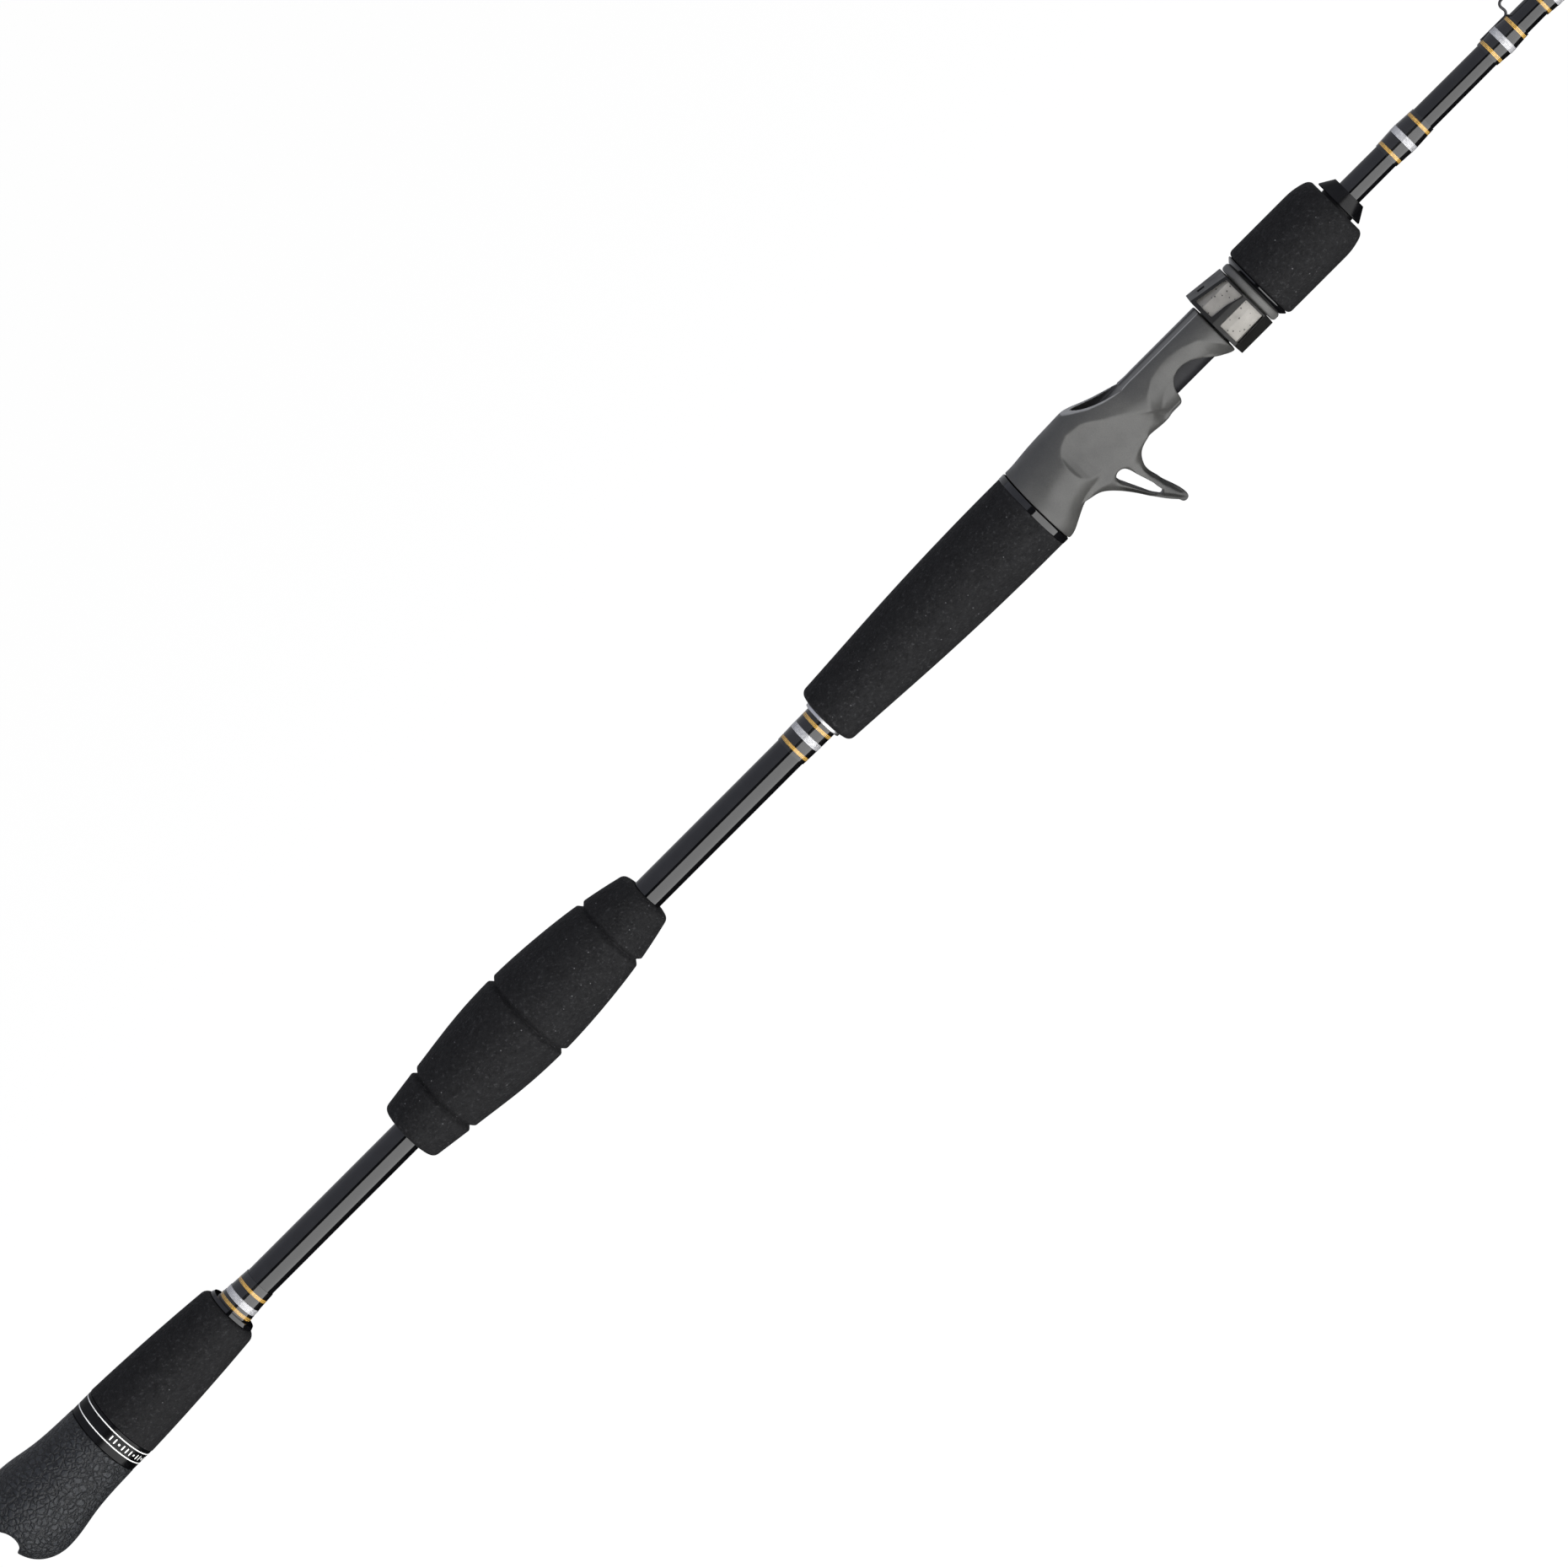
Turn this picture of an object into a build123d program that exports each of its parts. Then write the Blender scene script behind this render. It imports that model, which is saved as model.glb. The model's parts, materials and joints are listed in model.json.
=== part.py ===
"""One-piece casting rod with a trigger reel seat, split grips and nine line guides.

All sizes are in millimetres. The rod's axis is X, from the centre of the butt's end, which is the
origin, to the tip. +Z is the side that the reel and the line guides stand on, and the trigger
points to -Z. The rear hood is part of the seat. The front hood slides back over the seat's nose
when the fore grip, which is glued on the lock nut, is turned on the barrel's thread.
"""

import os
from math import cos, radians, sin

from build123d import *

os.makedirs("parts", exist_ok=True)

# ---------------------------------------------------------------- driving dimensions
ROD_LENGTH = 2032.0

# Handle tube, blank and butt
TUBE_R = 5.375
TUBE_BORE_R = 4.62
TUBE_X = (18.0, 596.0)
BLANK_X = (480.0, 2022.0)
BLANK_R_AT_CHECK = 4.325
BLANK_R_AT_TIP = 0.95
CHECK_END_X = 601.2
BUTT_MAX_X, BUTT_MAX_R = 12.5, 16.5
BUTT_END_R, BUTT_END_FLAT = 5.5, 0.3
BUTT_FRONT_X, BUTT_FRONT_R = 44.6, 13.6
GIMBAL_SLOT_W = 10.6
GIMBAL_SLOT_DEPTH = 4.5

# Foam grips and the rings around them
BAND_X, BAND_R = (44.6, 53.3), 13.5
REAR_GRIP_X = (53.3, 102.6)
UPPER_GRIP_X = (369.7, 461.1)
WASHER_X, WASHER_R = (368.4, 369.7), 7.0
SEAT_RING_X, SEAT_RING_R = (461.1, 463.5), 14.3

# Reel seat
SEAT_REAR_X, SEAT_NOSE_X = 463.8, 542.0
HOOD_CREST_X, HOOD_CREST_Z = 489.6, 15.3
BED_START_X, BED_RAIL_Z, BED_FLOOR_Z = 508.0, 8.4, 7.7
BED_HALF_W = 5.3
NOSE_START_X, NOSE_SECTION = 514.0, (0.5, 10.4, 9.9)
POCKET_REAR_X, POCKET_HALF_W, POCKET_H = 486.0, 7.0, 5.75
LINER_T = 0.5

# Threaded barrel and the parts that travel on it
BARREL_R = 6.4
BARREL_X = (506.0, 596.2)
THREAD_PITCH = 2.0
THREAD_START_X, THREAD_TURNS = 546.5, 23
HOOD_X = (542.6, 556.1)
HOOD_WALL_X = 554.6
HOOD_HALF_W, HOOD_BOTTOM_Z = 12.6, -11.3
HOOD_TOP_Z = (12.5, 10.55)
SLIDE_CLEARANCE = 0.35
NUT_BORE_R, NUT_SLEEVE_R, NUT_NECK_R = 7.45, 9.2, 8.6
FLANGE_X, FLANGE_R = (556.4, 559.4), 11.5
RETAINER_X = (553.4, 554.4)
CONE_X, CONE_R = (559.4, 561.2), (11.1, 13.0)
FORE_GRIP_X = (561.2, 595.3)
FORE_GRIP_R = 13.3

# Line guides: bore radius and height of each ring's centre over the axis, butt to tip
GUIDE_BORE_R = (6.0, 5.0, 4.2, 3.6, 3.2, 3.2, 3.2, 3.2)
GUIDE_HEIGHT = (24.0, 18.0, 15.0, 12.5, 11.0, 10.5, 10.0, 9.5)
TIP_SPACING, SPACING_GROWTH = 88.0, 1.115
RING_WALL, COLLAR_WALL = 1.2, 0.8
RING_HALF_W, COLLAR_HALF_W = 1.3, 1.1
LEG_R = 0.6
FOOT_L, FOOT_W, FOOT_T = 12.0, 2.4, 0.9
TIP_RING_Z = 6.4


def blank_radius(x):
    """Outer radius of the tapered blank at the place x."""
    taper = (BLANK_R_AT_CHECK - BLANK_R_AT_TIP) / (BLANK_X[1] - CHECK_END_X)
    return BLANK_R_AT_CHECK - taper * (x - CHECK_END_X)


# ---------------------------------------------------------------- butt
with BuildPart() as butt_cap:
    with BuildSketch(Plane.XZ):
        with BuildLine():
            nose = EllipticalCenterArc(
                (BUTT_MAX_X, BUTT_END_R), BUTT_MAX_X + BUTT_END_FLAT, BUTT_MAX_R - BUTT_END_R,
                start_angle=90, arc_size=90,
            )
            flank = Spline(
                (BUTT_MAX_X, BUTT_MAX_R), (25.7, 14.8), (BUTT_FRONT_X, BUTT_FRONT_R),
                tangents=[(1, 0), (1, -0.03)],
            )
            Polyline(flank @ 1, (BUTT_FRONT_X, 0), (-BUTT_END_FLAT, 0), (-BUTT_END_FLAT, BUTT_END_R))
        make_face()
    revolve(axis=Axis.X)
    split(bisect_by=Plane.YZ, keep=Keep.TOP)
    with BuildSketch(Plane.YZ.offset(3.8)):
        Circle(7.5)
    extrude(amount=14.2, mode=Mode.SUBTRACT)
    with BuildSketch(Plane.YZ.offset(TUBE_X[0])):
        Circle(TUBE_R)
    extrude(amount=BUTT_FRONT_X, mode=Mode.SUBTRACT)
    # Cross-shaped gimbal groove, round at its bottom
    groove_centre_x = GIMBAL_SLOT_DEPTH - GIMBAL_SLOT_W / 2
    for groove_plane in (Plane.XZ, Plane.XY):
        with BuildSketch(groove_plane):
            with Locations((groove_centre_x, 0)):
                Circle(GIMBAL_SLOT_W / 2)
        extrude(amount=BUTT_MAX_R + 2, both=True, mode=Mode.SUBTRACT)
butt_cap.part.label = "butt_cap"
export_step(butt_cap.part, "parts/butt_cap.step")

with BuildPart() as gimbal_insert:
    with BuildSketch(Plane.YZ.offset(3.8)):
        Circle(7.5)
    extrude(amount=14.2)
    chamfer(gimbal_insert.edges().group_by(Axis.X)[0], 0.5)
    with BuildSketch(Plane.YZ.offset(TUBE_X[0])):
        Circle(TUBE_BORE_R - 0.02)
    extrude(amount=22)
    with BuildSketch(Plane.YZ.offset(3.8)):
        Rectangle(15, 6)
        Rectangle(6, 15)
    extrude(amount=5, mode=Mode.SUBTRACT)
gimbal_insert.part.label = "gimbal_insert"
export_step(gimbal_insert.part, "parts/gimbal_insert.step")

PINSTRIPE_X = (47.45, 51.45)
PINSTRIPE_W, PINSTRIPE_T = 0.35, 0.25

with BuildPart() as rating_band:
    with BuildSketch(Plane.XZ):
        with BuildLine():
            Polyline(
                (BAND_X[0], TUBE_R), (BAND_X[0], BAND_R - 0.3), (BAND_X[0] + 0.3, BAND_R),
                (BAND_X[1] - 0.3, BAND_R), (BAND_X[1], BAND_R - 0.3), (BAND_X[1], TUBE_R), close=True,
            )
        make_face()
        with Locations(*[(x + PINSTRIPE_W / 2, BAND_R - PINSTRIPE_T / 2) for x in PINSTRIPE_X]):
            Rectangle(PINSTRIPE_W, PINSTRIPE_T, mode=Mode.SUBTRACT)
    revolve(axis=Axis.X)
rating_band.part.label = "rating_band"
export_step(rating_band.part, "parts/rating_band.step")

with BuildPart() as band_pinstripes:
    with BuildSketch(Plane.XZ):
        with Locations(*[(x + PINSTRIPE_W / 2, BAND_R - PINSTRIPE_T / 2 + 0.02) for x in PINSTRIPE_X]):
            Rectangle(PINSTRIPE_W, PINSTRIPE_T - 0.04)
    revolve(axis=Axis.X)
band_pinstripes.part.label = "band_pinstripes"
export_step(band_pinstripes.part, "parts/band_pinstripes.step")

# ---------------------------------------------------------------- foam grips behind the seat
with BuildPart() as rear_grip:
    with BuildSketch(Plane.XZ) as rear_grip_sketch:
        with BuildLine():
            rear_back = ThreePointArc((REAR_GRIP_X[0], 13.65), (80, 12.35), (REAR_GRIP_X[1], 10.6))
            Polyline(rear_back @ 1, (REAR_GRIP_X[1], TUBE_R), (REAR_GRIP_X[0], TUBE_R), rear_back @ 0)
        make_face()
        fillet(rear_grip_sketch.vertices().group_by(Axis.X)[-1].sort_by(Axis.Y)[-1], 2.6)
    revolve(axis=Axis.X)
rear_grip.part.label = "rear_grip"
export_step(rear_grip.part, "parts/rear_grip.step")

with BuildPart() as handle_tube:
    with BuildSketch(Plane.YZ.offset(TUBE_X[0])):
        Circle(TUBE_R)
        Circle(TUBE_BORE_R, mode=Mode.SUBTRACT)
    extrude(amount=TUBE_X[1] - TUBE_X[0])
handle_tube.part.label = "handle_tube"
export_step(handle_tube.part, "parts/handle_tube.step")

GROOVE_W, GROOVE_D = 2.2, 1.3
MID_GROOVES = (199.0, 236.9, 273.7)
with BuildPart() as mid_grip:
    with BuildSketch(Plane.XZ) as mid_grip_sketch:
        with BuildLine():
            mid_cone = Line((183.4, 10.9), (MID_GROOVES[0], 13.0))
            mid_swell = Spline(
                mid_cone @ 1, (218.0, 15.4), (236.9, 16.3), (256.0, 15.3), (273.7, 13.1), (290.2, 9.6),
                tangents=[(1, 0.12), (1, -0.25)],
            )
            Polyline(mid_swell @ 1, (290.2, TUBE_R), (183.4, TUBE_R), mid_cone @ 0)
        make_face()
        fillet(mid_grip_sketch.vertices().group_by(Axis.X)[0].sort_by(Axis.Y)[-1], 2.4)
        fillet(mid_grip_sketch.vertices().group_by(Axis.X)[-1].sort_by(Axis.Y)[-1], 2.4)
        for groove_x in MID_GROOVES:
            swell_r = 13.0 if groove_x < 200 else 16.3 if groove_x < 250 else 13.1
            with BuildLine():
                Polyline(
                    (groove_x - GROOVE_W / 2, swell_r + 1), (groove_x, swell_r - GROOVE_D),
                    (groove_x + GROOVE_W / 2, swell_r + 1), close=True,
                )
            make_face(mode=Mode.SUBTRACT)
    revolve(axis=Axis.X)
mid_grip.part.label = "mid_grip"
export_step(mid_grip.part, "parts/mid_grip.step")

with BuildPart() as upper_grip:
    with BuildSketch(Plane.XZ) as upper_grip_sketch:
        with BuildLine():
            upper_back = Spline(
                (UPPER_GRIP_X[0], 10.7), (390.0, 11.9), (411.0, 13.1), (433.0, 13.9), (UPPER_GRIP_X[1], 14.2)
            )
            Polyline(upper_back @ 1, (UPPER_GRIP_X[1], TUBE_R), (UPPER_GRIP_X[0], TUBE_R), upper_back @ 0)
        make_face()
        fillet(upper_grip_sketch.vertices().group_by(Axis.X)[0].sort_by(Axis.Y)[-1], 2.6)
    revolve(axis=Axis.X)
upper_grip.part.label = "upper_grip"
export_step(upper_grip.part, "parts/upper_grip.step")

# ---------------------------------------------------------------- plain turned rings
# Each ring: its two end places, its outer radius at both ends, and the radius of its hole
TURNED_RINGS = {
    "rear_winding_check": ((102.6, 104.1), (9.0, 8.4), TUBE_R),
    "grip_washer": (WASHER_X, (WASHER_R, WASHER_R), TUBE_R),
    "seat_trim_ring": (SEAT_RING_X, (SEAT_RING_R, SEAT_RING_R), TUBE_R),
    "front_winding_check": ((596.2, CHECK_END_X), (9.1, 6.1), blank_radius(596.2)),
    "nut_trim_ring": (CONE_X, CONE_R, NUT_SLEEVE_R),
}
for ring_name, (ring_x, ring_r, ring_hole) in TURNED_RINGS.items():
    with BuildPart() as turned_ring:
        with BuildSketch(Plane.XZ):
            with BuildLine():
                Polyline(
                    (ring_x[0], ring_hole), (ring_x[0], ring_r[0]),
                    (ring_x[1], ring_r[1]), (ring_x[1], ring_hole), close=True,
                )
            make_face()
        revolve(axis=Axis.X)
        fillet(turned_ring.edges().filter_by(GeomType.CIRCLE).group_by(SortBy.RADIUS)[-1], 0.35)
    turned_ring.part.label = ring_name
    export_step(turned_ring.part, f"parts/{ring_name}.step")

# ---------------------------------------------------------------- reel seat
# Stations along the seat: place, height of the section's centre, half width, half height
SEAT_STATIONS = (
    (SEAT_REAR_X, 0.0, 14.3, 14.3),
    (470.0, 1.1, 14.0, 13.4),
    (478.0, 2.9, 13.2, 12.2),
    (487.0, 3.1, 12.5, 12.3),
    (496.0, 2.95, 11.8, 12.25),
    (505.0, 1.6, 10.9, 11.0),
    (NOSE_START_X, *NOSE_SECTION),
)

with BuildPart() as trigger_blade:
    # Side outline, then narrowed by its front outline
    with BuildSketch(Plane.XZ):
        with BuildLine():
            rear_edge = Spline((472.5, -8.6), (482.6, -12.4), (488.4, -19.3), (496.6, -30.6))
            tip_edge = ThreePointArc(rear_edge @ 1, (498.5, -32.2), (499.6, -30.4))
            front_edge = Spline(tip_edge @ 1, (496.9, -20.8), (496.3, -15.8), (498.2, -11.7), (504.5, -8.9))
            Polyline(front_edge @ 1, (504.5, -5.8), (472.5, -5.8), rear_edge @ 0)
        make_face()
    extrude(amount=7, both=True)
    with BuildSketch(Plane.YZ.offset(SEAT_REAR_X)):
        with BuildLine():
            blade_side = Spline(
                (2.0, -34.0), (3.2, -25.0), (4.2, -17.0), (5.6, -12.2), (7.8, -8.6), (10.0, -5.0)
            )
            Polyline(blade_side @ 1, (0, -5.0), (0, -34.0), blade_side @ 0)
        make_face()
        mirror(about=Plane.YZ)
    extrude(amount=60, mode=Mode.INTERSECT)

# Hollow in each flank for the fingers: place along the seat, half width and height of its upper edge,
# and half width at its foot
FLANK_STATIONS = (
    (478.2, 14.2, 0.5, 14.2),
    (480.4, 11.9, 7.8, 11.0),
    (482.4, 10.8, 9.7, 9.2),
    (485.9, 9.6, 11.0, 7.1),
    (491.7, 9.9, 10.6, 7.1),
    (497.9, 11.2, 6.4, 7.1),
    (502.6, 11.1, 3.3, 7.1),
    (508.8, 10.2, -1.7, 5.2),
    (513.5, 7.3, -6.6, 4.2),
)
FLANK_FOOT_Z = -8.6

with BuildPart() as flank_cutter:
    for station_x, edge_y, edge_z, foot_y in FLANK_STATIONS:
        with BuildSketch(Plane.YZ.offset(station_x)):
            with BuildLine():
                Polyline(
                    (edge_y, edge_z), (foot_y, FLANK_FOOT_Z), (20, FLANK_FOOT_Z), (20, edge_z), close=True
                )
            make_face()
    loft(ruled=True)
    mirror(about=Plane.XZ)

with BuildPart() as reel_seat:
    # Moulded body, then its straight nose
    for station_x, centre_z, half_w, half_h in SEAT_STATIONS:
        with BuildSketch(Plane.YZ.offset(station_x)):
            with Locations((0, centre_z)):
                Ellipse(half_w, half_h)
    loft()
    with BuildSketch(Plane.YZ.offset(NOSE_START_X)):
        with Locations((0, NOSE_SECTION[0])):
            Ellipse(*NOSE_SECTION[1:])
    extrude(amount=SEAT_NOSE_X - NOSE_START_X)
    add(trigger_blade.part)
    add(flank_cutter.part, mode=Mode.SUBTRACT)
    # Slope in front of the rear hood, and the bed that the reel's foot stands on
    with BuildSketch(Plane.XZ):
        with BuildLine():
            hood_slope = Spline(
                (HOOD_CREST_X, HOOD_CREST_Z), (492.9, 13.7), (496.7, 11.75), (501.3, 10.05), (505.3, 8.96),
                (BED_START_X, BED_RAIL_Z),
            )
            Polyline(
                hood_slope @ 1, (SEAT_NOSE_X + 1, BED_RAIL_Z), (SEAT_NOSE_X + 1, 20), (484.0, 20),
                (484.0, HOOD_CREST_Z + 0.15), hood_slope @ 0,
            )
        make_face()
    extrude(amount=18, both=True, mode=Mode.SUBTRACT)
    with BuildSketch(Plane.XY.offset(BED_FLOOR_Z)):
        with Locations(((BED_START_X + SEAT_NOSE_X + 1) / 2, 0)):
            Rectangle(SEAT_NOSE_X + 1 - BED_START_X, 2 * BED_HALF_W)
    extrude(amount=6, mode=Mode.SUBTRACT)
    # Pocket under the rear hood, for the end of the foot
    with BuildSketch(Plane.YZ.offset(POCKET_REAR_X)):
        with Locations((0, BED_FLOOR_Z - 0.15)):
            Ellipse(POCKET_HALF_W + LINER_T, POCKET_H + LINER_T)
            Rectangle(30, 20, align=(Align.CENTER, Align.MAX), mode=Mode.SUBTRACT)
    extrude(amount=BED_START_X - POCKET_REAR_X, mode=Mode.SUBTRACT)
    # Holes for the handle tube and for the barrel
    with BuildSketch(Plane.YZ.offset(SEAT_REAR_X - 1)):
        Circle(TUBE_R)
    extrude(amount=60, mode=Mode.SUBTRACT)
    with BuildSketch(Plane.YZ.offset(BARREL_X[0])):
        Circle(BARREL_R)
    extrude(amount=60, mode=Mode.SUBTRACT)
    # Window on the underside, where a finger feels the barrel
    with BuildSketch(Plane.XZ):
        with BuildLine():
            window_arch = Spline(
                (516.4, -9.6), (519.2, -8.0), (519.9, -4.8), (522.5, -0.9), (527.0, 0.2), (532.0, -2.1),
                (536.5, -6.2), (542.5, -9.3),
            )
            Polyline(window_arch @ 1, (542.5, -14.0), (516.4, -14.0), window_arch @ 0)
        make_face()
    extrude(amount=18, both=True, mode=Mode.SUBTRACT)
    # Teardrop slot through the trigger
    with BuildSketch(Plane.XZ):
        with BuildLine():
            CenterArc((489.5, -11.8), 2.0, 0, 360)
            CenterArc((494.2, -24.2), 0.9, 0, 360)
        make_hull()
    extrude(amount=12, both=True, mode=Mode.SUBTRACT)
reel_seat.part.label = "reel_seat"
export_step(reel_seat.part, "parts/reel_seat.step")

with BuildPart() as fixed_hood_liner:
    with BuildSketch(Plane.YZ.offset(POCKET_REAR_X + 0.5)):
        with Locations((0, BED_FLOOR_Z - 0.15)):
            Ellipse(POCKET_HALF_W + LINER_T, POCKET_H + LINER_T)
            Ellipse(POCKET_HALF_W, POCKET_H, mode=Mode.SUBTRACT)
            Rectangle(30, 20, align=(Align.CENTER, Align.MAX), mode=Mode.SUBTRACT)
    extrude(amount=5.9)
fixed_hood_liner.part.label = "fixed_hood_liner"
export_step(fixed_hood_liner.part, "parts/fixed_hood_liner.step")

# ---------------------------------------------------------------- barrel and blank
with BuildPart() as seat_barrel:
    with BuildSketch(Plane.XZ):
        with Locations((sum(BARREL_X) / 2, (TUBE_R + BARREL_R) / 2)):
            Rectangle(BARREL_X[1] - BARREL_X[0], BARREL_R - TUBE_R)
        # Round ribs, one to a pitch, in place of the helical thread
        for turn in range(THREAD_TURNS):
            with Locations((THREAD_START_X + turn * THREAD_PITCH, BARREL_R - 0.1)):
                Trapezoid(1.5, 0.9, 65, align=(Align.CENTER, Align.MIN))
    revolve(axis=Axis.X)
seat_barrel.part.label = "seat_barrel"
export_step(seat_barrel.part, "parts/seat_barrel.step")

with BuildPart() as blank:
    with BuildSketch(Plane.XZ):
        with BuildLine():
            Polyline(
                (BLANK_X[0], 3.5), (BLANK_X[0], blank_radius(BLANK_X[0])), (BLANK_X[1], BLANK_R_AT_TIP),
                (BLANK_X[1], 0.35), close=True,
            )
        make_face()
    revolve(axis=Axis.X)
blank.part.label = "blank"
export_step(blank.part, "parts/blank.step")

# ---------------------------------------------------------------- sliding front hood
hood_slope_angle = (HOOD_TOP_Z[0] - HOOD_TOP_Z[1]) / (HOOD_X[1] - HOOD_X[0])
FRAME_T = 0.9
LINER_END_X = 555.4
FOOT_HALF_W, FOOT_H = 7.6, 4.6
HOOD_SIDE = (
    (0, HOOD_BOTTOM_Z), (3.4, HOOD_BOTTOM_Z), (11.2, -6.6), (HOOD_HALF_W, -1.5), (HOOD_HALF_W, 3.6),
    (10.4, 9.4), (6.6, HOOD_TOP_Z[0]), (0, HOOD_TOP_Z[0]),
)


def hood_top(x, below):
    """Height of the front hood's sloping top at x, less the depth below it."""
    return HOOD_TOP_Z[0] - hood_slope_angle * (x - HOOD_X[0]) - below


def cavity_section(clearance):
    """Outline of the seat's nose and the reel's foot on it, grown by a clearance."""
    centre_z, half_w, half_h = NOSE_SECTION
    with Locations((0, centre_z)):
        Ellipse(half_w + clearance, half_h + clearance)
    with Locations((0, BED_RAIL_Z)):
        Ellipse(FOOT_HALF_W + clearance, FOOT_H + clearance)


def hood_envelope(front_x, below):
    """Corners of the side view under the front hood's top, from its rear lip to front_x."""
    rear_x = HOOD_X[0] - 1
    top_corners = (rear_x, hood_top(rear_x, below)), (front_x, hood_top(front_x, below))
    return *top_corners, (front_x, -20), (rear_x, -20)


with BuildPart() as hood_cavity:
    with BuildSketch(Plane.YZ.offset(HOOD_X[0] - 1)):
        cavity_section(SLIDE_CLEARANCE)
    extrude(amount=20)
    with BuildSketch(Plane.XZ):
        with BuildLine():
            Polyline(*hood_envelope(HOOD_WALL_X, 1.6), close=True)
        make_face()
    extrude(amount=20, both=True, mode=Mode.INTERSECT)

with BuildPart() as liner_envelope:
    with BuildSketch(Plane.YZ.offset(HOOD_X[0] - 1)):
        with BuildLine():
            Polyline(*HOOD_SIDE)
            mirror(about=Plane.YZ)
        make_face()
        offset(amount=-FRAME_T, kind=Kind.INTERSECTION)
    extrude(amount=20)
    with BuildSketch(Plane.XZ):
        with BuildLine():
            Polyline(*hood_envelope(LINER_END_X, FRAME_T), close=True)
        make_face()
    extrude(amount=20, both=True, mode=Mode.INTERSECT)

with BuildPart() as movable_hood:
    with BuildSketch(Plane.YZ.offset(HOOD_X[0])):
        with BuildLine():
            Polyline(*HOOD_SIDE)
            mirror(about=Plane.YZ)
        make_face()
    extrude(amount=HOOD_X[1] - HOOD_X[0])
    with BuildSketch(Plane.XZ):
        with BuildLine():
            Polyline(*hood_envelope(HOOD_X[1], 0), close=True)
        make_face()
    extrude(amount=20, both=True, mode=Mode.INTERSECT)
    add(liner_envelope.part, mode=Mode.SUBTRACT)
    with BuildSketch(Plane.YZ.offset(HOOD_WALL_X - 0.5)):
        Circle(NUT_NECK_R + 0.15)
    extrude(amount=4, mode=Mode.SUBTRACT)
    # Windows in both sides and a notch on top, all down to the metal liner, which is a cup
    with BuildSketch(Plane.XZ):
        with BuildLine():
            Polyline(
                (544.0, hood_top(544.0, FRAME_T)), (LINER_END_X, hood_top(LINER_END_X, FRAME_T)),
                (LINER_END_X, 2.9),
                (550.0, 4.4), (544.0, 5.0), close=True,
            )
        make_face()
        with BuildLine():
            Polyline((544.0, 1.3), (LINER_END_X, 1.3), (LINER_END_X, -6.4), (544.0, -7.0), close=True)
        make_face()
    extrude(amount=20, both=True, mode=Mode.SUBTRACT)
    with BuildSketch(Plane.XY.offset(11.0)):
        with Locations((547.6, 0)):
            Rectangle(2.6, 3.0)
    extrude(amount=5, mode=Mode.SUBTRACT)
movable_hood.part.label = "movable_hood"
export_step(movable_hood.part, "parts/movable_hood.step")

with BuildPart() as hood_liner:
    add(liner_envelope.part)
    add(hood_cavity.part, mode=Mode.SUBTRACT)
    with BuildSketch(Plane.YZ.offset(HOOD_X[0] - 2)):
        Rectangle(40, 40)
    extrude(amount=2.4, mode=Mode.SUBTRACT)
    with BuildSketch(Plane.YZ.offset(HOOD_WALL_X - 0.5)):
        Circle(NUT_NECK_R + 0.15)
    extrude(amount=4, mode=Mode.SUBTRACT)
hood_liner.part.label = "hood_liner"
export_step(hood_liner.part, "parts/hood_liner.step")

# ---------------------------------------------------------------- lock nut and fore grip
with BuildPart() as lock_nut:
    with BuildSketch(Plane.XZ):
        with BuildLine():
            Polyline(
                (552.6, NUT_BORE_R), (552.6, NUT_NECK_R), (RETAINER_X[0], NUT_NECK_R),
                (RETAINER_X[0], 8.05), (RETAINER_X[1], 8.05), (RETAINER_X[1], NUT_NECK_R),
                (FLANGE_X[0], NUT_NECK_R), (FLANGE_X[0], FLANGE_R), (FLANGE_X[1], FLANGE_R),
                (FLANGE_X[1], NUT_SLEEVE_R), (594.6, NUT_SLEEVE_R), (594.6, NUT_BORE_R), close=True,
            )
        make_face()
    revolve(axis=Axis.X)
    fillet(lock_nut.edges().filter_by(GeomType.CIRCLE).group_by(SortBy.RADIUS)[-1], 1.1)
lock_nut.part.label = "lock_nut"
export_step(lock_nut.part, "parts/lock_nut.step")

with BuildPart() as nut_retaining_ring:
    with BuildSketch(Plane.YZ.offset(RETAINER_X[0] + 0.05)):
        Circle(9.1)
        Circle(8.05, mode=Mode.SUBTRACT)
        with Locations((0, -9)):
            Rectangle(3, 4, mode=Mode.SUBTRACT)
    extrude(amount=0.9)
nut_retaining_ring.part.label = "nut_retaining_ring"
export_step(nut_retaining_ring.part, "parts/nut_retaining_ring.step")

with BuildPart() as fore_grip:
    with BuildSketch(Plane.XZ) as fore_grip_sketch:
        with BuildLine():
            fore_back = Line((FORE_GRIP_X[0], FORE_GRIP_R), (586.0, FORE_GRIP_R))
            fore_nose = Spline(
                fore_back @ 1, (592.2, 12.5), (FORE_GRIP_X[1], 10.4), tangents=[(1, 0), (0.35, -1)]
            )
            Polyline(
                fore_nose @ 1, (FORE_GRIP_X[1], NUT_SLEEVE_R), (FORE_GRIP_X[0], NUT_SLEEVE_R), fore_back @ 0
            )
        make_face()
        fillet(fore_grip_sketch.vertices().group_by(Axis.X)[0].sort_by(Axis.Y)[-1], 1.8)
    revolve(axis=Axis.X)
fore_grip.part.label = "fore_grip"
export_step(fore_grip.part, "parts/fore_grip.step")

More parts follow.
